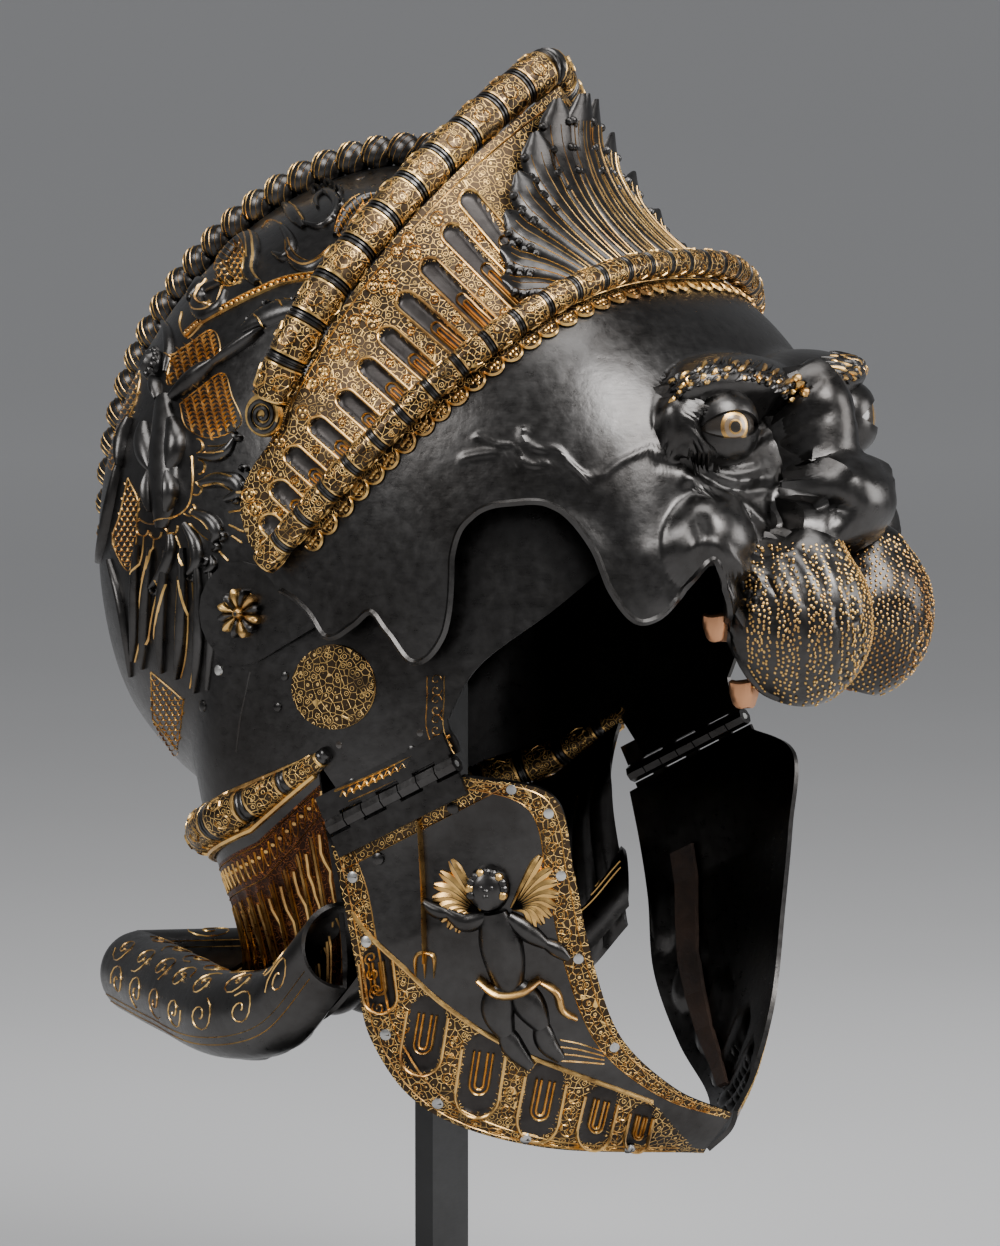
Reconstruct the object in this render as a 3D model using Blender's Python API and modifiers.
"""Parade helmet on its stand: an embossed burgonet with a beast-mask visor.

Metres, +Z up, -Y is the way the helmet faces, the wearer's right is -X.
The frame's origin is the middle of the stand's underside. Shapes are worked
out around the visor's pivot, which the whole helmet is laid out from.
"""
import math

import bmesh
import bpy
from mathutils import Matrix, Vector

# Driving dimensions, metres unless the name says otherwise
GAP = 0.0003
FLAT_SHARE = 0.94
PLATE = 0.0016
PIVOT_HEIGHT = 0.263
PIVOT_BACK = 0.014

SKULL_HALF_WIDTH = 0.095
SKULL_REACH = 0.140
SKULL_MERIDIANS = 30
SKULL_RINGS = 14
HINGE_LINE_REAR = (-0.032, -0.067)
HINGE_LINE_FRONT = (-0.0785, -0.044)

COMB_HEIGHT = 0.012
COMB_HALF_WIDTH = 0.011
CREST_BEADS = 27
CREST_BEAD_RADIUS = 0.0052
CREST_START_DEG = 84.0
CREST_END_DEG = 205.0

MASK_HALF_WIDTH = 0.1020
MASK_REACH = 0.160
MASK_SQUARENESS = 2.7
MASK_TOP_DEG = 46.0
MASK_REAR_DEG = 86.5
MASK_COLUMNS = 18
MASK_ROWS = 13
EYE_RADIUS = 0.0115
TOOTH_SIZE = 0.0085
TOOTH_TAPER = 0.7

BROW_ROLL_RADIUS = 0.0046
BROW_DRUMS = 34
BROW_SHARE = 0.985
BAND_TABS = 48
BAND_SHARE = 0.94
BAND_START = 0.0030
BAND_DEPTH = 0.0060
TRIM_PLATE = 0.0010

DIADEM_PEAK_AHEAD = 0.060
DIADEM_PEAK_RISE = 0.168
DIADEM_ROWS = 4
DIADEM_COLUMNS = 14
DIADEM_HOLLOW = 0.009
DIADEM_TRAIL = 0.013
DIADEM_REAR_ACROSS = 0.0965
DIADEM_REAR_AHEAD = 0.017
DIADEM_REAR_RISE = 0.060
VOLUTE_RADIUS = 0.0072
VOLUTE_WIDTH = 0.0110
UPPER_ROLL_RADIUS = 0.0072
UPPER_DRUMS = 22
PALMETTE_HALF_WIDTH = 0.034

ARM_RADIUS = 0.0165
ARM_LENGTH = 0.036
ARM_RISE_SHARE = 0.22
ARM_PLATE = 0.0010
ARM_JOGGLE = 0.0027
ROSETTE_RADIUS = 0.0082
ROSETTE_HEIGHT = 0.0035
PIVOT_PIN_RADIUS = 0.0030

NAPE_SLOPE = 0.40
NAPE_DROP = 0.0550
NAPE_FRONT_SETBACK = 0.0040
NAPE_ROLL_RADIUS = 0.0070
NAPE_ROLL_PROUD = 0.0010
NAPE_ROLL_TAPER = 0.16
NAPE_DRUMS = 18
GUARD_ROLL_RADIUS = 0.0135
GUARD_COLUMNS = 22
GUARD_ROLL_TURN_DEG = 300.0
GUARD_ROLL_SHRINK = 0.22

CHEEK_COLUMNS = 6
CHEEK_ROWS = 12
CHEEK_SWELL = 0.006
KNUCKLES = 7
KNUCKLE_RADIUS = 0.0030
HINGE_PIN_RADIUS = 0.0012
HINGE_LEAF_DEPTH = 0.0070
HINGE_LEAF_SEAT = 0.0005
HINGE_LEAF_PLATE = 0.0014
LINING_FROM_ROW = 3
LINING_ROWS = 7
LINING_ACROSS = 0.75
LINING_WIDTH_SHARE = 0.13
LINING_THICKNESS = 0.0016

BASE_RADIUS = 0.095
BASE_THICKNESS = 0.008
POST_WIDTH = 0.022
POST_DEPTH = 0.007
REST_RADIUS = 0.040
REST_THICKNESS = 0.006
REST_SEAT = 0.0005

# Skull outline seen from the side: degrees from straight ahead over the
# crown, reach as a share of SKULL_REACH, and how square the cross-section is
SKULL_OUTLINE = (
    (-90, 1.06, 3.4),
    (-45, 1.06, 3.4),
    (0, 0.97, 2.8),
    (30, 0.985, 2.4),
    (60, 1.00, 2.2),
    (90, 0.995, 2.1),
    (120, 0.92, 2.05),
    (150, 0.815, 2.05),
    (180, 0.735, 2.05),
    (205, 0.690, 2.1),
    (222, 0.655, 2.1),
    (236, 0.635, 2.3),
    (252, 0.78, 2.8),
    (270, 1.06, 3.4),
)

# Comb along the middle of the skull: degrees, and height share
COMB_OUTLINE = (
    (45, 0.0),
    (70, 0.15),
    (90, 0.30),
    (120, 0.55),
    (150, 1.00),
    (180, 0.85),
    (205, 0.25),
    (225, 0.0),
)

# Face opening's edge on the skull, ahead and up as shares of SKULL_REACH
FACE_EDGE = (
    (1.080, 0.400),
    (0.950, 0.321),
    (0.879, 0.193),
    (0.750, 0.036),
    (0.593, -0.100),
    (0.521, -0.229),
)

# Mask outline seen from the side: degrees up from straight ahead, and reach
# as a share of MASK_REACH
MASK_OUTLINE = (
    (-30, 0.94),
    (-10, 0.965),
    (10, 0.975),
    (25, 0.970),
    (36, 0.955),
    (46, 0.925),
)

# Mask lower edge: degrees from the median plane to the side, and degrees up
MASK_LOWER_EDGE = (
    (0, -7.5),
    (12, -8.0),
    (17, -5.0),
    (21, 1.0),
    (24, 7.0),
    (26, 7.0),
    (30, 3.0),
    (34, 0.5),
    (38, 0.5),
    (42, 5.0),
    (44, 11.0),
    (48, 18.0),
    (54, 21.0),
    (61, 21.5),
    (65.5, 14.5),
    (67.5, -3.0),
    (71, -11.0),
    (75, -3.0),
    (77, 3.0),
    (79, -2.0),
    (82, -9.0),
    (84, 4.0),
    (86.5, 26.0),
)

# Beast's rounded forms: half-way across, ahead and up from the pivot, then
# the three radii, all as shares of MASK_REACH
MASK_FORMS = (
    ("whisker_pad", (0.130, 0.985, -0.005), (0.150, 0.165, 0.175)),
    ("nose_ball", (0.000, 1.030, 0.225), (0.118, 0.100, 0.090)),
    ("nose_wing", (0.082, 1.000, 0.195), (0.056, 0.075, 0.060)),
    ("nose_bridge", (0.000, 0.965, 0.345), (0.075, 0.090, 0.160)),
    ("brow_ridge", (0.150, 0.855, 0.455), (0.190, 0.095, 0.062)),
    ("cheek", (0.300, 0.890, 0.150), (0.105, 0.095, 0.100)),
    ("eye_swell", (0.250, 0.850, 0.375), (0.115, 0.100, 0.085)),
    ("mouth_corner", (0.320, 0.900, 0.045), (0.055, 0.070, 0.055)),
)
MASK_HEART_AHEAD = 0.46
MASK_HEART_UP = 0.075
FORM_BLEND = 0.0045
EYE_PLACE = (0.250, 0.890, 0.378)

# Teeth: half-way across, ahead and up from the pivot, as shares of MASK_REACH
TOOTH_PLACES = (
    ("rear", 0.290, 0.9125, -0.011),
    ("front", 0.227, 0.937, -0.145),
)

# Palmette: share of its height, half-width share, and swell share
PALMETTE_OUTLINE = (
    (0.00, 1.34, 0.3),
    (0.20, 1.26, 0.9),
    (0.50, 1.10, 1.0),
    (0.80, 0.80, 0.8),
    (1.00, 0.42, 0.5),
)
PALMETTE_SWELL = 0.006

# Neck guard's lower edge: share of the way from the front tip to the middle
# of the back, then across, back and up as shares of SKULL_REACH
GUARD_HEM = (
    (0.00, 0.629, -0.236, -0.843),
    (0.18, 0.607, -0.085, -0.990),
    (0.38, 0.500, 0.157, -1.050),
    (0.70, 0.265, 0.470, -1.055),
    (1.00, 0.000, 0.790, -1.057),
)
GUARD_ROLL_FROM = 0.36
GUARD_DROOP = 1.15
GUARD_FLARE = 1.10
GUARD_ROLL_STEPS = 8
GUARD_SKIRT_STEPS = 4

# Cheekpiece: front edge and rear edge in step from the hinge to the chin,
# across, ahead and up from the pivot, as shares of SKULL_REACH
CHEEK_FRONT_EDGE = (
    (0.650, 0.575, -0.345),
    (0.560, 0.752, -0.386),
    (0.505, 0.775, -0.560),
    (0.450, 0.786, -0.750),
    (0.360, 0.812, -0.950),
    (0.190, 0.860, -1.090),
    (0.014, 0.905, -1.165),
)
CHEEK_REAR_EDGE = (
    (0.668, 0.232, -0.520),
    (0.666, 0.262, -0.640),
    (0.660, 0.290, -0.780),
    (0.640, 0.320, -0.960),
    (0.575, 0.430, -1.120),
    (0.390, 0.620, -1.215),
    (0.014, 0.830, -1.265),
)

SKIN_COLOURS = {
    "black_steel": ((0.035, 0.035, 0.038, 1.0), 0.38, 1.0),
    "gilt": ((0.62, 0.40, 0.14, 1.0), 0.34, 1.0),
    "copper": ((0.55, 0.27, 0.14, 1.0), 0.40, 1.0),
    "eye_enamel": ((0.70, 0.52, 0.30, 1.0), 0.20, 0.0),
    "dark_leather": ((0.045, 0.028, 0.020, 1.0), 0.70, 0.0),
    "stand_black": ((0.020, 0.020, 0.020, 1.0), 0.50, 0.0),
}


def clear_scene():
    """Take out whatever the file starts with."""
    for thing in list(bpy.data.objects):
        bpy.data.objects.remove(thing, do_unlink=True)


def make_collection(name):
    """Make a collection under the scene."""
    group = bpy.data.collections.new(name)
    bpy.context.scene.collection.children.link(group)
    return group


clear_scene()
PARTS = make_collection("parade_helmet")
CUTTERS = make_collection("cutters")


def finish(name, slot):
    """Make one object's own material from a named finish."""
    colour, roughness, metallic = SKIN_COLOURS[slot]
    material = bpy.data.materials.new(name + "_finish")
    material.use_nodes = True
    shader = material.node_tree.nodes["Principled BSDF"]
    shader.inputs["Base Color"].default_value = colour
    shader.inputs["Roughness"].default_value = roughness
    shader.inputs["Metallic"].default_value = metallic
    return material


def smooth_read(table, key, column=1):
    """Read a table at any key, on a smooth curve through its rows."""
    if key <= table[0][0]:
        return table[0][column]
    for index in range(len(table) - 1):
        low, high = table[index], table[index + 1]
        if key <= high[0]:
            before = table[max(index - 1, 0)]
            after = table[min(index + 2, len(table) - 1)]
            span = high[0] - low[0]
            share = (key - low[0]) / span
            slope_low = (high[column] - before[column]) / max(high[0] - before[0], 1e-9)
            slope_high = (after[column] - low[column]) / max(after[0] - low[0], 1e-9)
            return hermite(low[column], high[column], slope_low * span, slope_high * span, share)
    return table[-1][column]


def hermite(start, end, slope_start, slope_end, share):
    """Blend two values with given slopes."""
    square = share * share
    cube = square * share
    return (
        (2 * cube - 3 * square + 1) * start
        + (cube - 2 * square + share) * slope_start
        + (3 * square - 2 * cube) * end
        + (cube - square) * slope_end
    )


def smooth_path(points, steps):
    """Points on a smooth curve through a list of rows."""
    keyed = [(index, *row) for index, row in enumerate(points)]
    width = len(points[0])
    last = len(points) - 1
    path = []
    for step in range(steps + 1):
        key = last * step / steps
        path.append(Vector([smooth_read(keyed, key, column + 1) for column in range(width)]))
    return path


def around(across, reach, degrees):
    """Point beside the pivot: across, out along a direction in the side view."""
    angle = math.radians(degrees)
    return Vector((across, -reach * math.cos(angle), reach * math.sin(angle)))


def squared(share, power):
    """What is left of a superellipse's other half-axis."""
    return max(0.0, 1.0 - abs(share) ** power) ** (1.0 / power)


def link(thing, parent=None):
    """Put a part in its collection and under its parent."""
    PARTS.objects.link(thing)
    pivot = Vector((0.0, PIVOT_BACK, PIVOT_HEIGHT))
    if parent is None:
        thing.location = pivot
    else:
        thing.parent = parent
        thing.location = pivot - parent.location
    return thing


def mesh_part(name, slot, verts, faces, parent=None, shade_deg=35.0):
    """Make a named part from points and faces, laid out round the pivot."""
    mesh = bpy.data.meshes.new(name)
    mesh.from_pydata([tuple(point) for point in verts], [], faces)
    mesh.update()
    mesh.shade_smooth()
    mesh.set_sharp_from_angle(angle=math.radians(shade_deg))
    mesh.materials.append(finish(name, slot))
    return link(bpy.data.objects.new(name, mesh), parent)


def sheet(name, slot, rows, columns, place, wall, parent=None, mirrored=False, flip=False, keep=None):
    """Make a plate: a grid of points from a function, thickened inwards.

    place(row share, column share) gives a point. keep(row, column), if it is
    given, says which squares of the grid are there.
    """
    verts = []
    for row in range(rows + 1):
        for column in range(columns + 1):
            verts.append(place(row / rows, column / columns))
    faces = []
    stride = columns + 1
    for row in range(rows):
        for column in range(columns):
            if keep and not keep(row, column):
                continue
            corner = row * stride + column
            face = (corner, corner + 1, corner + stride + 1, corner + stride)
            faces.append(face[::-1] if flip else face)
    part = mesh_part(name, slot, verts, faces, parent)
    if keep:
        drop_loose_points(part)
    if mirrored:
        mirror = part.modifiers.new("Mirror", "MIRROR")
        mirror.use_axis = (True, False, False)
        mirror.merge_threshold = 0.00005
    solid = part.modifiers.new("Plate", "SOLIDIFY")
    solid.thickness = wall
    solid.offset = -1.0
    solid.use_even_offset = False
    return part


def drop_loose_points(part):
    """Delete the points that no face uses."""
    shape = bmesh.new()
    shape.from_mesh(part.data)
    loose = [vert for vert in shape.verts if not vert.link_faces]
    bmesh.ops.delete(shape, geom=loose, context="VERTS")
    shape.to_mesh(part.data)
    shape.free()


def roll(name, slot, points, radii, parent=None, resolution=2):
    """Make a round bar with a radius of its own at each point."""
    curve = bpy.data.curves.new(name, "CURVE")
    curve.dimensions = "3D"
    curve.bevel_depth = 1.0
    curve.bevel_resolution = resolution
    curve.use_fill_caps = True
    spline = curve.splines.new("POLY")
    spline.points.add(len(points) - 1)
    for knot, point, radius in zip(spline.points, points, radii):
        knot.co = (*point, 1.0)
        knot.radius = radius
    curve.materials.append(finish(name, slot))
    return link(bpy.data.objects.new(name, curve), parent)


def drum_bar(route, drums, radius, groove=0.72, taper=0.0):
    """Points and radii of a bar of drums parted by grooves along a route."""
    marks = (0.0, 0.5)
    points, radii = [], []
    last = len(route) - 1
    for drum in range(drums):
        for mark in marks:
            share = (drum + mark) / drums
            points.append(along(route, share * last))
            thin = groove if mark == 0.0 else 1.0
            ends = min(share, 1.0 - share) / taper if taper else 1.0
            radii.append(radius * thin * min(1.0, 0.35 + 0.65 * ends))
    points.append(route[-1])
    radii.append(radii[0])
    return points, radii


def along(route, key):
    """Point at a fractional place on a list of points."""
    index = min(int(key), len(route) - 2)
    return route[index].lerp(route[index + 1], key - index)


def even_route(route, steps):
    """The same route with its points evenly spaced."""
    lengths = [0.0]
    for before, after in zip(route, route[1:]):
        lengths.append(lengths[-1] + (after - before).length)
    evened = []
    index = 0
    for step in range(steps + 1):
        goal = lengths[-1] * step / steps
        while index < len(route) - 2 and lengths[index + 1] < goal:
            index += 1
        span = max(lengths[index + 1] - lengths[index], 1e-9)
        evened.append(route[index].lerp(route[index + 1], (goal - lengths[index]) / span))
    return evened


def side_cutter(name, outline, half_width):
    """Make a cutter from an outline seen from the side, run across the helmet."""
    curve = bpy.data.curves.new(name, "CURVE")
    curve.dimensions = "2D"
    curve.fill_mode = "BOTH"
    curve.extrude = half_width
    spline = curve.splines.new("POLY")
    spline.points.add(len(outline) - 1)
    for knot, (back, rise) in zip(spline.points, outline):
        knot.co = (back, rise, 0.0, 1.0)
    spline.use_cyclic_u = True
    turned = Matrix(((0, 0, 1, 0), (1, 0, 0, 0), (0, 1, 0, 0), (0, 0, 0, 1)))
    return cutter_from_curve(name, curve, turned)


def cutter_from_curve(name, curve, turned):
    """Turn a curve into a closed mesh cutter laid out round the pivot."""
    drawn = bpy.data.objects.new(name + "_drawn", curve)
    CUTTERS.objects.link(drawn)
    bpy.context.view_layer.update()
    depsgraph = bpy.context.evaluated_depsgraph_get()
    mesh = bpy.data.meshes.new_from_object(drawn.evaluated_get(depsgraph))
    bpy.data.objects.remove(drawn, do_unlink=True)
    shape = bmesh.new()
    shape.from_mesh(mesh)
    bmesh.ops.remove_doubles(shape, verts=shape.verts, dist=0.00001)
    bmesh.ops.transform(shape, matrix=turned, verts=shape.verts)
    bmesh.ops.recalc_face_normals(shape, faces=shape.faces)
    shape.to_mesh(mesh)
    shape.free()
    return hide_cutter(bpy.data.objects.new(name, mesh))


def hide_cutter(cutter):
    """Keep a cutter out of sight, laid out round the pivot."""
    CUTTERS.objects.link(cutter)
    cutter.location = (0.0, PIVOT_BACK, PIVOT_HEIGHT)
    cutter.hide_render = True
    cutter.display_type = "WIRE"
    return cutter


def round_cutter(name, centre, radius):
    """Make a ball cutter."""
    mesh = bpy.data.meshes.new(name)
    shape = bmesh.new()
    bmesh.ops.create_uvsphere(shape, u_segments=12, v_segments=6, radius=radius)
    bmesh.ops.translate(shape, vec=centre, verts=shape.verts)
    shape.to_mesh(mesh)
    shape.free()
    return hide_cutter(bpy.data.objects.new(name, mesh))


def bar_cutter(name, centre, radius, half_length):
    """Make a round cutter that runs across the helmet."""
    mesh = bpy.data.meshes.new(name)
    shape = bmesh.new()
    bmesh.ops.create_cone(
        shape, cap_ends=True, segments=16, radius1=radius, radius2=radius, depth=2 * half_length
    )
    bmesh.ops.rotate(shape, matrix=Matrix.Rotation(math.pi / 2, 3, "Y"), verts=shape.verts)
    bmesh.ops.translate(shape, vec=centre, verts=shape.verts)
    shape.to_mesh(mesh)
    shape.free()
    return hide_cutter(bpy.data.objects.new(name, mesh))


def boolean(part, cutter, operation="DIFFERENCE"):
    """Cut or join a part with another shape."""
    step = part.modifiers.new(operation.title(), "BOOLEAN")
    step.operation = operation
    step.solver = "EXACT"
    step.object = cutter
    return step


# Surfaces that more than one piece follows


def skull_turn(degrees):
    """The same direction, counted from -90 to 270 degrees."""
    return (degrees + 90) % 360 - 90


def skull_reach(degrees):
    """Reach of the skull in one direction of the side view."""
    return SKULL_REACH * smooth_read(SKULL_OUTLINE, skull_turn(degrees))


def comb_height(degrees):
    """Height of the comb along the middle of the skull."""
    return COMB_HEIGHT * smooth_read(COMB_OUTLINE, degrees % 360)


def skull_power(degrees):
    """Squareness of the skull's cross-section in one direction."""
    return smooth_read(SKULL_OUTLINE, skull_turn(degrees), 2)


def skull_across(reach, degrees):
    """Half-width of the skull at a reach and direction."""
    return SKULL_HALF_WIDTH * squared(reach / skull_reach(degrees), skull_power(degrees))


def skull_point(lateral, degrees):
    """Point on the skull: angle from the median plane, and direction."""
    power = 2.0 / skull_power(degrees)
    side = math.copysign(abs(math.sin(lateral)) ** power, math.sin(lateral))
    out = abs(math.cos(lateral)) ** power
    across = SKULL_HALF_WIDTH * side
    ridge = comb_height(degrees) * math.exp(-((across / COMB_HALF_WIDTH) ** 2))
    return around(across, skull_reach(degrees) * out + ridge, degrees)


def mask_reach(degrees):
    """Reach of the mask's plain underlying form."""
    return MASK_REACH * smooth_read(MASK_OUTLINE, degrees)


def form_distance(start, heading, centre, radii):
    """How far along a line a rounded form's far side lies."""
    local = Vector([(start[axis] - centre[axis]) / radii[axis] for axis in range(3)])
    aim = Vector([heading[axis] / radii[axis] for axis in range(3)])
    square = aim.dot(aim)
    middle = aim.dot(local)
    inside = middle * middle - square * (local.dot(local) - 1.0)
    if inside >= 0:
        return (-middle + math.sqrt(inside)) / square
    return (-middle - 1.5 * math.sqrt(-inside)) / square


def mask_surface(lateral_deg, degrees):
    """Point on the near half of the mask, with the beast's forms raised."""
    power = 2.0 / MASK_SQUARENESS
    lateral = math.radians(lateral_deg)
    across = -MASK_HALF_WIDTH * math.sin(lateral) ** power
    base = around(across, mask_reach(degrees) * math.cos(lateral) ** power, degrees)
    heart = Vector((0.0, -MASK_HEART_AHEAD * MASK_REACH, MASK_HEART_UP * MASK_REACH))
    heading = base - heart
    distance = heading.length
    heading.normalize()
    for _, (half, ahead, up), size in MASK_FORMS:
        radii = [MASK_REACH * share for share in size]
        for side in (-1.0, 1.0):
            centre = MASK_REACH * Vector((side * half, -ahead, up))
            reached = form_distance(heart, heading, centre, radii)
            gap = distance - reached
            distance = 0.5 * (distance + reached + math.hypot(gap, FORM_BLEND))
            distance -= 0.5 * (math.hypot(gap, FORM_BLEND) - abs(gap)) * 0.35
            if half == 0.0:
                break
    point = heart + heading * distance
    point.x = min(point.x, 0.0)
    return point


def mask_lower_edge(lateral_deg):
    """Direction of the mask's lower edge at an angle from the median plane."""
    return smooth_read(MASK_LOWER_EDGE, lateral_deg)


def mask_column(share):
    """Angle from the median plane of a column, closer together at the side."""
    return MASK_REAR_DEG * (1.0 - (1.0 - share) ** 1.3)


def mask_normal(lateral_deg, degrees):
    """Direction straight out of the mask's surface."""
    step = 1.0
    start = max(lateral_deg, step)
    sideways = mask_surface(start + step, degrees) - mask_surface(start - step, degrees)
    upward = mask_surface(start, degrees + step) - mask_surface(start, degrees - step)
    normal = sideways.cross(upward).normalized()
    if lateral_deg < step:
        normal.x = 0.0
    if normal.dot(around(-0.02, 1.0, degrees)) < 0:
        normal = -normal
    return normal.normalized()


def diadem_low(lateral_deg):
    """Point on the diadem's lower edge, on the brow roll."""
    edge = mask_surface(lateral_deg, MASK_TOP_DEG) - mask_normal(lateral_deg, MASK_TOP_DEG) * GAP * 4
    return edge + around(0.0, GAP * 2, MASK_TOP_DEG + 90)


def diadem_high(share):
    """Point on the diadem's upper edge: 0 at the peak, 1 at the volute."""
    across = -DIADEM_REAR_ACROSS * math.sin(share * math.pi / 2) ** 1.12
    sweep = share ** 1.25
    ahead = DIADEM_PEAK_AHEAD + (DIADEM_REAR_AHEAD - DIADEM_PEAK_AHEAD) * sweep
    rise = DIADEM_PEAK_RISE + (DIADEM_REAR_RISE - DIADEM_PEAK_RISE) * sweep
    return Vector((across, -ahead, rise))


def upper_roll_centre(share):
    """Point on the upper roll's middle line, straight above the diadem's edge."""
    high = diadem_high(share)
    rising = high - diadem_low(MASK_REAR_DEG * share)
    edgeways = (diadem_high(min(share + 0.01, 1.0)) - diadem_high(max(share - 0.01, 0.0))).normalized()
    rising -= edgeways * rising.dot(edgeways)
    return high + rising.normalized() * (UPPER_ROLL_RADIUS * FLAT_SHARE + 3 * GAP)


def volute_centre(side):
    """Middle of the scroll that ends the upper roll."""
    end = upper_roll_centre(1.0)
    return Vector((side * abs(end.x), end.y - VOLUTE_RADIUS * 0.05, end.z + VOLUTE_RADIUS * 0.12))


def diadem_surface(height, share):
    """Point on the diadem: height 0 at the brow roll, share 0 at the peak."""
    low = diadem_low(MASK_REAR_DEG * share)
    high = diadem_high(share)
    point = low.lerp(high, height)
    hollow = DIADEM_HOLLOW * math.sin(math.pi * height) * (1.0 - share) ** 2
    trail = DIADEM_TRAIL * math.sin(math.pi * height) * share ** 6
    return point + Vector((0.0, hollow + trail, -hollow * 0.6))


def nape_line(back):
    """Rise of the nape line at a distance behind the pivot."""
    return -NAPE_DROP - NAPE_SLOPE * back


def nape_reach(degrees, drop):
    """Reach at which a direction meets the nape line, or one lower by drop."""
    sine, cosine = math.sin(math.radians(degrees)), math.cos(math.radians(degrees))
    return -(NAPE_DROP + drop) / (sine - NAPE_SLOPE * cosine)


def nape_rear_angle(drop):
    """Direction in which the nape line meets the back of the skull."""
    low, high = 190.0, 250.0
    for _ in range(40):
        middle = (low + high) / 2
        if nape_reach(middle, drop) > skull_reach(middle):
            low = middle
        else:
            high = middle
    return high


def nape_ring(share, drop=0.0, proud=0.0):
    """Point beside the skull's lower edge: 0 at the near tip, 1 at the far tip."""
    half = abs(2.0 * share - 1.0)
    side = -1.0 if share < 0.5 else 1.0
    front_back = HINGE_LINE_REAR[0] + NAPE_FRONT_SETBACK
    front = math.degrees(math.atan2(nape_line(front_back) - drop, -front_back)) % 360
    rear = nape_rear_angle(drop)
    degrees = rear + (front - rear) * half ** 1.6
    reach = min(nape_reach(degrees, drop), skull_reach(degrees))
    across = skull_across(reach, degrees) if half > 0.0 else 0.0
    power = skull_power(degrees)
    out = around(0.0, (reach / skull_reach(degrees)) ** (power - 1) / skull_reach(degrees), degrees)
    out.x = side * (across / SKULL_HALF_WIDTH) ** (power - 1) / SKULL_HALF_WIDTH
    return around(side * across, reach, degrees) + out.normalized() * proud


def nape_roll_radius(share):
    """Radius of the nape roll, thinner towards its two tips."""
    return NAPE_ROLL_RADIUS * min(1.0, 0.35 + 0.65 * min(share, 1.0 - share) / NAPE_ROLL_TAPER)


def cheek_edges(share):
    """Front and rear points of the near cheekpiece, hinge to chin."""
    front = smooth_path(CHEEK_FRONT_EDGE, CHEEK_ROWS)
    rear = smooth_path(CHEEK_REAR_EDGE, CHEEK_ROWS)
    index = round(share * CHEEK_ROWS)
    spots = []
    for row in (front[index], rear[index]):
        spots.append(SKULL_REACH * Vector((-row.x, -row.y, row.z)))
    return spots


def cheek_point(down, across, side):
    """Point on a cheekpiece: hinge to chin, front edge to rear edge."""
    front, rear = cheek_edges(down)
    point = front.lerp(rear, across)
    chord = (rear - front).normalized()
    out = Vector((-1.0, -0.55 * (1.0 - across), -0.25 * down))
    out = (out - chord * out.dot(chord)).normalized()
    swell = CHEEK_SWELL * math.sin(math.pi * across) * (1.0 - 0.5 * down) * min(1.0, 3.0 * down) ** 2
    point += out * swell
    point.x = min(point.x, -GAP)
    if side > 0:
        point.x = -point.x
    return point


# Pieces


def build_skull():
    """Skull: one shell, cut away for the face and along its lower edge."""
    mesh = bpy.data.meshes.new("skull")
    shape = bmesh.new()
    bmesh.ops.create_uvsphere(shape, u_segments=SKULL_MERIDIANS, v_segments=SKULL_RINGS, radius=1.0)
    for vert in shape.verts:
        pole, first, second = vert.co.z, vert.co.x, vert.co.y
        share = math.asin(max(-1.0, min(1.0, pole))) / (math.pi / 2)
        lateral = math.pi / 2 * (0.62 * share + 0.38 * share ** 3)
        degrees = math.degrees(math.atan2(second, -first))
        vert.co = skull_point(lateral, degrees)
    bmesh.ops.recalc_face_normals(shape, faces=shape.faces)
    if shape.calc_volume(signed=True) < 0:
        bmesh.ops.reverse_faces(shape, faces=shape.faces)
    shape.to_mesh(mesh)
    shape.free()
    mesh.shade_smooth()
    mesh.set_sharp_from_angle(angle=math.radians(35))
    mesh.materials.append(finish("skull", "black_steel"))
    skull = link(bpy.data.objects.new("skull", mesh))
    solid = skull.modifiers.new("Plate", "SOLIDIFY")
    solid.thickness = PLATE
    solid.offset = -1.0
    outline = [(-point.x * SKULL_REACH, point.y * SKULL_REACH) for point in smooth_path(FACE_EDGE, 12)]
    raised = KNUCKLE_RADIUS + 2 * GAP
    outline.append((HINGE_LINE_FRONT[0], HINGE_LINE_FRONT[1] + raised))
    outline.append((HINGE_LINE_REAR[0], HINGE_LINE_REAR[1] + raised))
    outline.append((HINGE_LINE_REAR[0] + 0.003, nape_line(HINGE_LINE_REAR[0])))
    far = 2 * SKULL_REACH
    outline.append((far, nape_line(far)))
    outline.append((far, -2 * far))
    outline.append((-far, -2 * far))
    outline.append((-far, FACE_EDGE[0][1] * SKULL_REACH))
    boolean(skull, side_cutter("face_cutter", outline, 2 * SKULL_HALF_WIDTH))
    for side in (-1, 1):
        hole = bar_cutter(
            "pivot_hole_%d" % side, (side * SKULL_HALF_WIDTH, 0, 0), PIVOT_PIN_RADIUS + GAP, 0.02
        )
        boolean(skull, hole)


def build_crest():
    """Rope crest: overlapping beads along the middle of the skull."""
    route = []
    for step in range(81):
        degrees = CREST_START_DEG + (CREST_END_DEG - CREST_START_DEG) * step / 80
        reach = skull_reach(degrees) + comb_height(degrees) + CREST_BEAD_RADIUS + 2 * GAP
        route.append(around(0.0, reach, degrees))
    route = even_route(route, CREST_BEADS * 2)
    radii = []
    for step in range(len(route)):
        radii.append(CREST_BEAD_RADIUS * (0.66 if step % 2 == 0 else 1.0))
    roll("crest_rope", "black_steel", route, radii)


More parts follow.
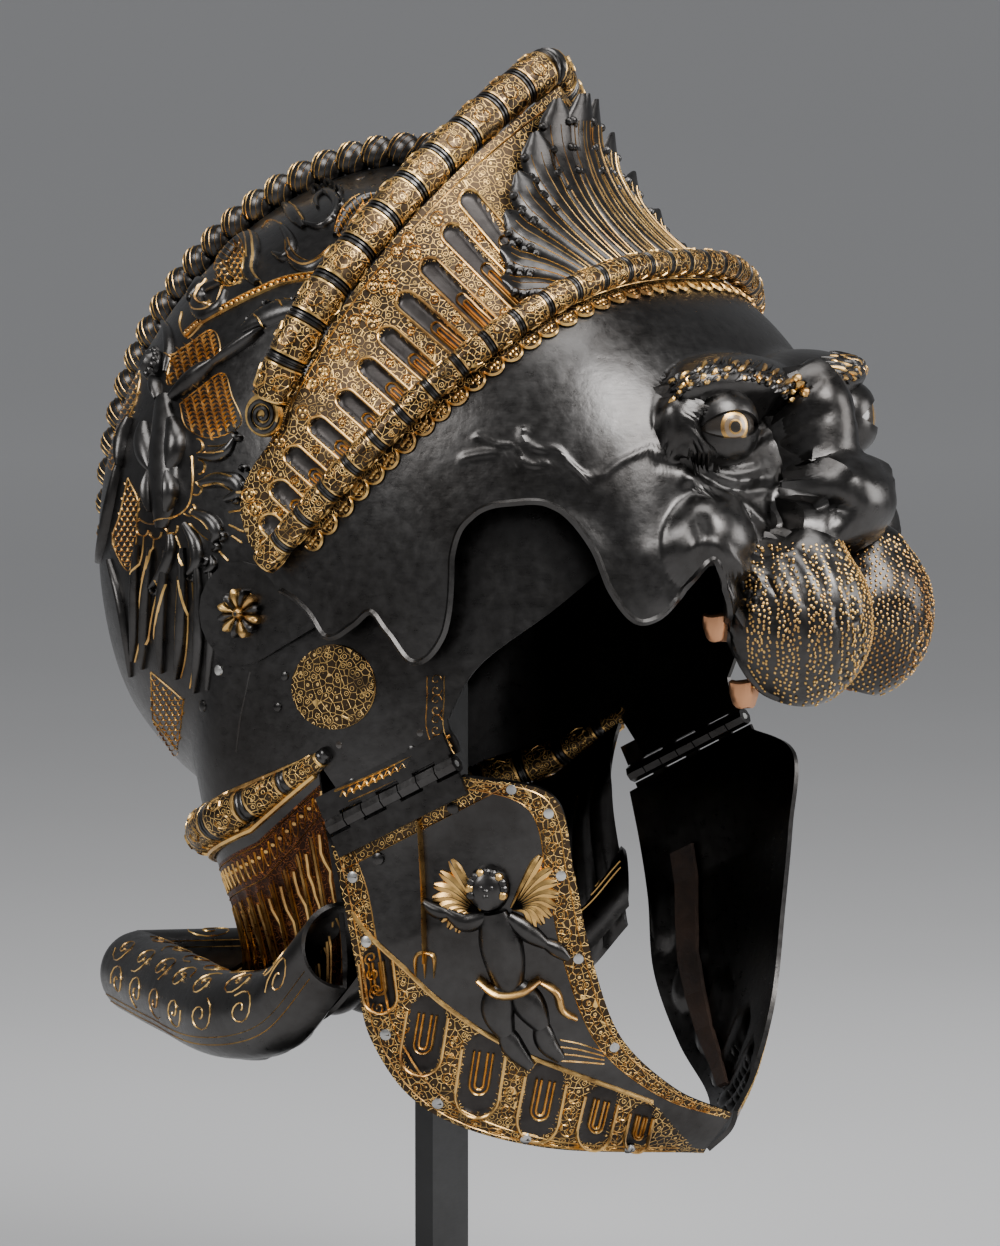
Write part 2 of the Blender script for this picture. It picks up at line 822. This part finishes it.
def build_mask(visor):
    """Mask: an embossed plate with a cut lower edge, mirrored."""

    def place(row, column):
        lateral = mask_column(column)
        low = mask_lower_edge(lateral)
        return mask_surface(lateral, MASK_TOP_DEG + (low - MASK_TOP_DEG) * row)

    mask = sheet(
        "mask", "black_steel", MASK_ROWS, MASK_COLUMNS, place, PLATE, visor, mirrored=True
    )
    half, ahead, up = EYE_PLACE
    for side, label in ((-1, "right"), (1, "left")):
        centre = MASK_REACH * Vector((side * half, -ahead, up))
        socket = round_cutter("eye_socket_" + label, centre, EYE_RADIUS + 5 * GAP)
        boolean(mask, socket)
        build_eye("eye_" + label, centre, visor)


def build_eye(name, centre, visor):
    """Eye: a ball set in the mask."""
    mesh = bpy.data.meshes.new(name)
    shape = bmesh.new()
    bmesh.ops.create_uvsphere(shape, u_segments=12, v_segments=6, radius=EYE_RADIUS)
    bmesh.ops.translate(shape, vec=centre, verts=shape.verts)
    shape.to_mesh(mesh)
    shape.free()
    mesh.shade_smooth()
    mesh.materials.append(finish(name, "eye_enamel"))
    link(bpy.data.objects.new(name, mesh), visor)


def build_diadem(visor):
    """Diadem: the tall plate that stands up from the brow roll."""

    def place(height, share):
        return diadem_surface(height, share)

    sheet("diadem", "gilt", DIADEM_ROWS, DIADEM_COLUMNS, place, PLATE, visor, mirrored=True, flip=True)


def build_rolls(visor):
    """Upper roll along the diadem, and brow roll along the mask's top."""
    end = volute_centre(-1)
    half = [upper_roll_centre(step / 240) for step in range(241)]
    half = [point for point in half if (point - end).length > VOLUTE_RADIUS + 2 * GAP]
    far = [Vector((-point.x, point.y, point.z)) for point in half[:0:-1]]
    route = even_route(far + half, 90)
    points, radii = drum_bar(route, UPPER_DRUMS, UPPER_ROLL_RADIUS, 0.86)
    roll("upper_roll", "gilt", points, radii, visor)
    stand_off = BROW_ROLL_RADIUS + GAP * 3
    near = []
    for step in range(41):
        lateral = BROW_SHARE * MASK_REAR_DEG * step / 40
        near.append(mask_surface(lateral, MASK_TOP_DEG) + mask_normal(lateral, MASK_TOP_DEG) * stand_off)
    far = [Vector((-point.x, point.y, point.z)) for point in near[:0:-1]]
    route = even_route(far + near, 140)
    points, radii = drum_bar(route, BROW_DRUMS, BROW_ROLL_RADIUS, 0.84)
    roll("brow_roll", "gilt", points, radii, visor, resolution=1)


def build_volutes(visor):
    """Volutes: the scrolled lower ends of the upper roll."""
    for side, label in ((-1, "right"), (1, "left")):
        mesh = bpy.data.meshes.new("volute_" + label)
        shape = bmesh.new()
        bmesh.ops.create_cone(
            shape,
            cap_ends=True,
            segments=14,
            radius1=VOLUTE_RADIUS,
            radius2=VOLUTE_RADIUS * 0.9,
            depth=VOLUTE_WIDTH,
        )
        bmesh.ops.rotate(shape, matrix=Matrix.Rotation(side * math.pi / 2, 3, "Y"), verts=shape.verts)
        bmesh.ops.translate(shape, vec=volute_centre(side), verts=shape.verts)
        shape.to_mesh(mesh)
        shape.free()
        mesh.materials.append(finish("volute_" + label, "gilt"))
        link(bpy.data.objects.new("volute_" + label, mesh), visor)


def build_band(visor):
    """Scalloped band: gilt tabs under the brow roll."""
    steps = BAND_TABS // 2 * 2

    def place(row, column):
        lateral = BAND_SHARE * MASK_REAR_DEG * column
        reach = BAND_DEPTH * (1.0 if round(column * steps) % 2 else 0.62)
        local = MASK_REACH * math.cos(math.radians(lateral)) ** (2.0 / MASK_SQUARENESS)
        degrees = MASK_TOP_DEG - math.degrees((BAND_START + reach * row) / local)
        return mask_surface(lateral, degrees) + mask_normal(lateral, degrees) * (2 * GAP + TRIM_PLATE)

    sheet("scalloped_band", "gilt", 1, steps, place, TRIM_PLATE, visor, mirrored=True)


def build_palmette(visor):
    """Palmette: the acanthus fan in front of the diadem."""

    def place(height, share):
        width = smooth_read(PALMETTE_OUTLINE, height) * PALMETTE_HALF_WIDTH
        swell = smooth_read(PALMETTE_OUTLINE, height, 2) * PALMETTE_SWELL
        goal = width * share
        spot = 0.07 + 0.83 * height
        low, high = 0.0, 0.7
        for _ in range(24):
            middle = (low + high) / 2
            if -diadem_surface(spot, middle).x < goal:
                low = middle
            else:
                high = middle
        point = diadem_surface(spot, low)
        ridge = 0.5 + 0.5 * math.cos(share * 3 * 2 * math.pi)
        lift = PLATE + 3 * GAP + swell * (1.0 - share ** 2) * (0.6 + 0.4 * ridge)
        point += Vector((0.0, -0.93, 0.36)) * lift
        point.x = 0.0 if share == 0.0 else point.x
        return point

    sheet("palmette", "black_steel", 7, 8, place, TRIM_PLATE, visor, mirrored=True, flip=True)


def build_teeth(visor):
    """Teeth: two blocks inside each corner of the beast's mouth."""
    for side, label in ((-1, "right"), (1, "left")):
        for spot, half, ahead, up in TOOTH_PLACES:
            name = "tooth_%s_%s" % (label, spot)
            mesh = bpy.data.meshes.new(name)
            shape = bmesh.new()
            bmesh.ops.create_cube(shape, size=TOOTH_SIZE)
            for vert in shape.verts:
                if vert.co.z < 0:
                    vert.co.x *= TOOTH_TAPER
                    vert.co.y *= TOOTH_TAPER
            centre = MASK_REACH * Vector((side * half, -ahead, up))
            bmesh.ops.translate(shape, vec=centre, verts=shape.verts)
            shape.to_mesh(mesh)
            shape.free()
            mesh.materials.append(finish(name, "copper"))
            link(bpy.data.objects.new(name, mesh), visor)


def build_pivots(visor):
    """Pivot arms of the visor, and the rosette pins they turn on."""
    for side, label in ((-1, "right"), (1, "left")):
        inner = SKULL_HALF_WIDTH + GAP
        arm = arm_plate("pivot_arm_" + label, side, inner, visor)
        hole = bar_cutter("arm_hole_" + label, (side * inner, 0, 0), PIVOT_PIN_RADIUS + GAP, 0.01)
        boolean(arm, hole)
        build_rosette("rosette_" + label, side, inner + ARM_PLATE + GAP)


def arm_plate(name, side, inner, visor):
    """Arm: a round lobe with a tongue that runs forward under the mask."""
    outline = []
    for step in range(13):
        angle = math.radians(70 + 220 * step / 12)
        outline.append((-ARM_RADIUS * math.cos(angle), ARM_RADIUS * math.sin(angle)))
    tip = ARM_RADIUS * 0.45
    lobe = len(outline)
    outline.append((-ARM_LENGTH, -tip + ARM_LENGTH * ARM_RISE_SHARE))
    outline.append((-ARM_LENGTH, tip + ARM_LENGTH * ARM_RISE_SHARE))
    count = len(outline)
    verts = []
    for lift in (0.0, ARM_PLATE):
        for index, (back, rise) in enumerate(outline):
            out = inner + lift + (ARM_JOGGLE if index >= lobe else 0.0)
            verts.append(Vector((side * out, back, rise)))
    faces = []
    for start in (0, count):
        faces.append(tuple(range(start, start + lobe)))
        faces.append((start, start + lobe - 1, start + lobe, start + lobe + 1))
    for index in range(count):
        after = (index + 1) % count
        faces.append((index, index + count, after + count, after))
    part = mesh_part(name, "black_steel", verts, faces, visor)
    shape = bmesh.new()
    shape.from_mesh(part.data)
    bmesh.ops.recalc_face_normals(shape, faces=shape.faces)
    shape.to_mesh(part.data)
    shape.free()
    return part


def build_rosette(name, side, inner):
    """Rosette: a domed flower head on the pin that carries the visor."""
    mesh = bpy.data.meshes.new(name)
    shape = bmesh.new()
    rings = (
        (PIVOT_PIN_RADIUS, SKULL_HALF_WIDTH - PLATE - 0.004),
        (PIVOT_PIN_RADIUS, inner),
        (ROSETTE_RADIUS, inner),
        (ROSETTE_RADIUS, inner + ROSETTE_HEIGHT * 0.4),
        (ROSETTE_RADIUS * 0.6, inner + ROSETTE_HEIGHT),
    )
    loops = []
    for radius, across in rings:
        loop = []
        for step in range(12):
            angle = math.tau * step / 12
            spot = (side * across, radius * math.cos(angle), radius * math.sin(angle))
            loop.append(shape.verts.new(spot))
        loops.append(loop)
    shape.faces.new(loops[0])
    shape.faces.new(loops[-1])
    for low, high in zip(loops, loops[1:]):
        for step in range(12):
            after = (step + 1) % 12
            shape.faces.new((low[step], low[after], high[after], high[step]))
    bmesh.ops.recalc_face_normals(shape, faces=shape.faces)
    shape.to_mesh(mesh)
    shape.free()
    mesh.materials.append(finish(name, "gilt"))
    link(bpy.data.objects.new(name, mesh))


def build_nape_roll():
    """Nape roll: a drum bar under the skull's edge, round the back of the neck."""
    route = []
    for step in range(91):
        share = 0.005 + 0.99 * step / 90
        route.append(nape_ring(share, nape_roll_radius(share) * FLAT_SHARE + GAP, NAPE_ROLL_PROUD))
    points, radii = drum_bar(even_route(route, 90), NAPE_DRUMS, NAPE_ROLL_RADIUS, 0.85, NAPE_ROLL_TAPER)
    roll("nape_roll", "gilt", points, radii)


def guard_point(row, column):
    """Point on the neck guard: down the skirt, then round its roll."""
    step = row * (GUARD_SKIRT_STEPS + GUARD_ROLL_STEPS)
    half = min(column, 1.0 - column) * 2.0
    side = -1.0 if column < 0.5 else 1.0
    start = nape_ring(column, 2 * nape_roll_radius(column) + 4 * GAP)
    across, back, rise = (SKULL_REACH * smooth_read(GUARD_HEM, half, index) for index in (1, 2, 3))
    hem = Vector((side * across, back, rise))
    out = Vector((side * 0.80, 0.60, 0.0)).normalized()
    flare = min(1.0, half / GUARD_ROLL_FROM)
    inward = Vector((start.x, start.y - 0.010, 0.0)).normalized() * -0.45
    length = (hem - start).length
    share = min(step / GUARD_SKIRT_STEPS, 1.0)
    leave = (Vector((0.0, 0.0, -1.0)) + inward) * length * GUARD_DROOP
    arrive = (out * flare + Vector((0.0, 0.0, flare - 1.0))) * length * GUARD_FLARE
    point = Vector([hermite(*ends, share) for ends in zip(start, hem, leave, arrive)])
    if step > GUARD_SKIRT_STEPS:
        turn = (step - GUARD_SKIRT_STEPS) / GUARD_ROLL_STEPS * math.radians(GUARD_ROLL_TURN_DEG)
        radius = GUARD_ROLL_RADIUS * (1.0 - GUARD_ROLL_SHRINK * turn / math.tau)
        angle = turn - math.pi / 2
        hub = point + Vector((0.0, 0.0, GUARD_ROLL_RADIUS))
        point = hub + (out * math.cos(angle) + Vector((0.0, 0.0, math.sin(angle)))) * radius
    return point


def build_guard():
    """Neck guard: a skirt that sweeps out and rolls up along its edge."""

    def keep(row, column):
        near = (column + 0.5) / GUARD_COLUMNS
        half = min(near, 1.0 - near) * 2.0
        split = abs(column + 0.5 - GUARD_COLUMNS / 2) < 1.0
        return row < GUARD_SKIRT_STEPS or (half > GUARD_ROLL_FROM and not split)

    rows = GUARD_SKIRT_STEPS + GUARD_ROLL_STEPS
    sheet("neck_guard", "black_steel", rows, GUARD_COLUMNS, guard_point, PLATE, keep=keep)


def hinge_spot(side, share, out=0.0):
    """Point on a cheek hinge's axis, rear to front."""
    back = HINGE_LINE_REAR[0] + (HINGE_LINE_FRONT[0] - HINGE_LINE_REAR[0]) * share
    rise = HINGE_LINE_REAR[1] + (HINGE_LINE_FRONT[1] - HINGE_LINE_REAR[1]) * share
    return Vector((side * (SKULL_HALF_WIDTH - 0.0015 + out - 0.002 * share), back, rise))


def knuckle(shape, start, end, radius, bore):
    """Add one hinge knuckle, bored for the pin, to a mesh."""
    axis = (end - start).normalized()
    turned = axis.to_track_quat("Z", "Y").to_matrix()
    loops = []
    for spot, size in ((start, bore), (start, radius), (end, radius), (end, bore)):
        loop = []
        for step in range(8):
            angle = math.tau * step / 8
            flat = Vector((size * math.cos(angle), size * math.sin(angle), 0.0))
            loop.append(shape.verts.new(spot + turned @ flat))
        loops.append(loop)
    for index in range(4):
        low, high = loops[index], loops[(index + 1) % 4]
        for step in range(8):
            after = (step + 1) % 8
            shape.faces.new((low[step], low[after], high[after], high[step]))


def build_hinge(side, label, cheek):
    """Cheek hinge: upper and lower knuckles on one pin."""
    upper, lower = bmesh.new(), bmesh.new()
    for index in range(KNUCKLES):
        start = hinge_spot(side, (index + 0.03) / KNUCKLES)
        end = hinge_spot(side, (index + 0.97) / KNUCKLES)
        shape = upper if index % 2 == 0 else lower
        knuckle(shape, start, end, KNUCKLE_RADIUS, HINGE_PIN_RADIUS + GAP)
    for shape, spot, parent in ((upper, "upper", None), (lower, "lower", cheek)):
        name = "hinge_%s_%s" % (label, spot)
        bmesh.ops.recalc_face_normals(shape, faces=shape.faces)
        mesh = bpy.data.meshes.new(name)
        shape.to_mesh(mesh)
        shape.free()
        mesh.materials.append(finish(name, "black_steel"))
        part = link(bpy.data.objects.new(name, mesh), parent)
        boolean(part, hinge_strip(side, spot), "UNION").use_self = True
    pin = [hinge_spot(side, 0.004), hinge_spot(side, 0.996)]
    roll("hinge_pin_" + label, "black_steel", pin, [HINGE_PIN_RADIUS] * 2)


def hinge_strip(side, spot):
    """Leaf that joins one row of knuckles, standing on the hinge line."""
    rise = 1.0 if spot == "upper" else -1.0
    along_line = (hinge_spot(side, 1.0) - hinge_spot(side, 0.0)).normalized()
    across = Vector((side, 0.0, 0.0))
    up = across.cross(along_line).normalized()
    up = up if up.z * rise > 0 else -up
    inner, outer = HINGE_LEAF_SEAT, HINGE_LEAF_SEAT + HINGE_LEAF_PLATE
    near, far = KNUCKLE_RADIUS + GAP, KNUCKLE_RADIUS + GAP + HINGE_LEAF_DEPTH
    verts = []
    for place in (0.0, 1.0):
        spot_on = hinge_spot(side, place)
        for lift in (near, far):
            for out in (inner, outer):
                verts.append(spot_on + up * lift + across * out)
    faces = [(0, 1, 3, 2), (4, 6, 7, 5), (0, 4, 5, 1), (2, 3, 7, 6), (0, 2, 6, 4), (1, 5, 7, 3)]
    mesh = bpy.data.meshes.new("hinge_leaf")
    mesh.from_pydata([tuple(vert) for vert in verts], [], faces)
    shape = bmesh.new()
    shape.from_mesh(mesh)
    wanted = range(0, KNUCKLES, 2) if rise > 0 else range(1, KNUCKLES, 2)
    for index in wanted:
        bridge = []
        for place in ((index + 0.12) / KNUCKLES, (index + 0.88) / KNUCKLES):
            spot_on = hinge_spot(side, place)
            for lift in (KNUCKLE_RADIUS * 0.65, near + GAP * 3):
                for out in (inner, outer):
                    bridge.append(shape.verts.new(spot_on + up * lift + across * out))
        for face in faces:
            shape.faces.new([bridge[corner] for corner in face])
    bmesh.ops.recalc_face_normals(shape, faces=shape.faces)
    shape.to_mesh(mesh)
    shape.free()
    return hide_cutter(bpy.data.objects.new("hinge_leaf", mesh))


def build_cheek(side, label, cheek):
    """Cheekpiece: a curved plate from the hinge to the chin."""

    def place(down, across):
        return cheek_point(down, across, side)

    sheet(
        "cheek_" + label, "black_steel", CHEEK_ROWS, CHEEK_COLUMNS, place, PLATE, cheek, flip=side > 0
    )


def cheek_inside(down, across, side, depth):
    """Point inside a cheekpiece, some way in from its outer surface."""
    step = 0.02
    lengthways = cheek_point(down + 1 / CHEEK_ROWS, across, side) - cheek_point(down, across, side)
    sideways = cheek_point(down, across + step, side) - cheek_point(down, across - step, side)
    inward = lengthways.cross(sideways).normalized()
    if inward.x * side > 0:
        inward = -inward
    return cheek_point(down, across, side) + inward * depth


def build_lining(cheek):
    """Lining strip: a leather band inside the far cheekpiece."""

    def place(row, column):
        down = (LINING_FROM_ROW + row * LINING_ROWS) / CHEEK_ROWS
        across = LINING_ACROSS + (column - 0.5) * LINING_WIDTH_SHARE
        return cheek_inside(down, across, 1, PLATE + 3 * GAP)

    sheet("lining_strip_left", "dark_leather", LINING_ROWS, 1, place, LINING_THICKNESS, cheek, flip=True)


def build_stand():
    """Stand: a round foot, a flat bar and a rest inside the crown."""
    low = -PIVOT_HEIGHT
    crown = skull_reach(90) - PLATE + REST_SEAT
    foot_profile = (
        (0.0, BASE_THICKNESS),
        (BASE_RADIUS - 0.002, BASE_THICKNESS),
        (BASE_RADIUS, BASE_THICKNESS - 0.002),
        (BASE_RADIUS, 0.0),
        (0.0, 0.0),
    )
    turned_part("stand_foot", foot_profile, Vector((0.0, -PIVOT_BACK, low)), 28)
    post_low = low + BASE_THICKNESS + GAP
    post_high = crown - REST_THICKNESS - GAP
    mesh = bpy.data.meshes.new("stand_post")
    shape = bmesh.new()
    bmesh.ops.create_cube(shape, size=1.0)
    bmesh.ops.scale(shape, vec=(POST_WIDTH, POST_DEPTH, post_high - post_low), verts=shape.verts)
    bmesh.ops.translate(shape, vec=(0, -PIVOT_BACK, (post_low + post_high) / 2), verts=shape.verts)
    shape.to_mesh(mesh)
    shape.free()
    mesh.materials.append(finish("stand_post", "stand_black"))
    link(bpy.data.objects.new("stand_post", mesh))
    cap_profile = (
        (0.0, REST_THICKNESS),
        (REST_RADIUS * 0.5, REST_THICKNESS * 0.25),
        (REST_RADIUS, -REST_THICKNESS * 1.6),
        (REST_RADIUS, -REST_THICKNESS * 2.2),
        (REST_RADIUS * 0.5, 0.0),
        (0.0, 0.0),
    )
    turned_part("stand_rest", cap_profile, Vector((0.0, -PIVOT_BACK, crown - REST_THICKNESS)), 16)


def turned_part(name, profile, centre, segments):
    """Make a turned piece from its profile with a Screw."""
    mesh = bpy.data.meshes.new(name)
    edges = [(index, index + 1) for index in range(len(profile) - 1)]
    mesh.from_pydata([(radius, 0.0, rise) for radius, rise in profile], edges, [])
    mesh.materials.append(finish(name, "stand_black"))
    part = link(bpy.data.objects.new(name, mesh))
    part.location = part.location + centre
    screw = part.modifiers.new("Turn", "SCREW")
    screw.steps = segments
    screw.render_steps = segments
    screw.use_merge_vertices = True
    screw.merge_threshold = 0.00001
    return part


def pivot_empty(name, place):
    """Make the empty that a moving group turns about."""
    empty = bpy.data.objects.new(name, None)
    empty.empty_display_size = 0.02
    empty.location = place
    PARTS.objects.link(empty)
    return empty


def main():
    """Build every piece."""
    pivot = Vector((0.0, PIVOT_BACK, PIVOT_HEIGHT))
    visor = pivot_empty("visor_pivot", pivot)
    build_skull()
    build_crest()
    build_mask(visor)
    build_diadem(visor)
    build_rolls(visor)
    build_volutes(visor)
    build_band(visor)
    build_palmette(visor)
    build_teeth(visor)
    build_pivots(visor)
    build_nape_roll()
    build_guard()
    for side, label in ((-1, "right"), (1, "left")):
        cheek = pivot_empty("cheek_pivot_" + label, pivot + hinge_spot(side, 0.5))
        build_hinge(side, label, cheek)
        build_cheek(side, label, cheek)
        if side > 0:
            build_lining(cheek)
    build_stand()


main()
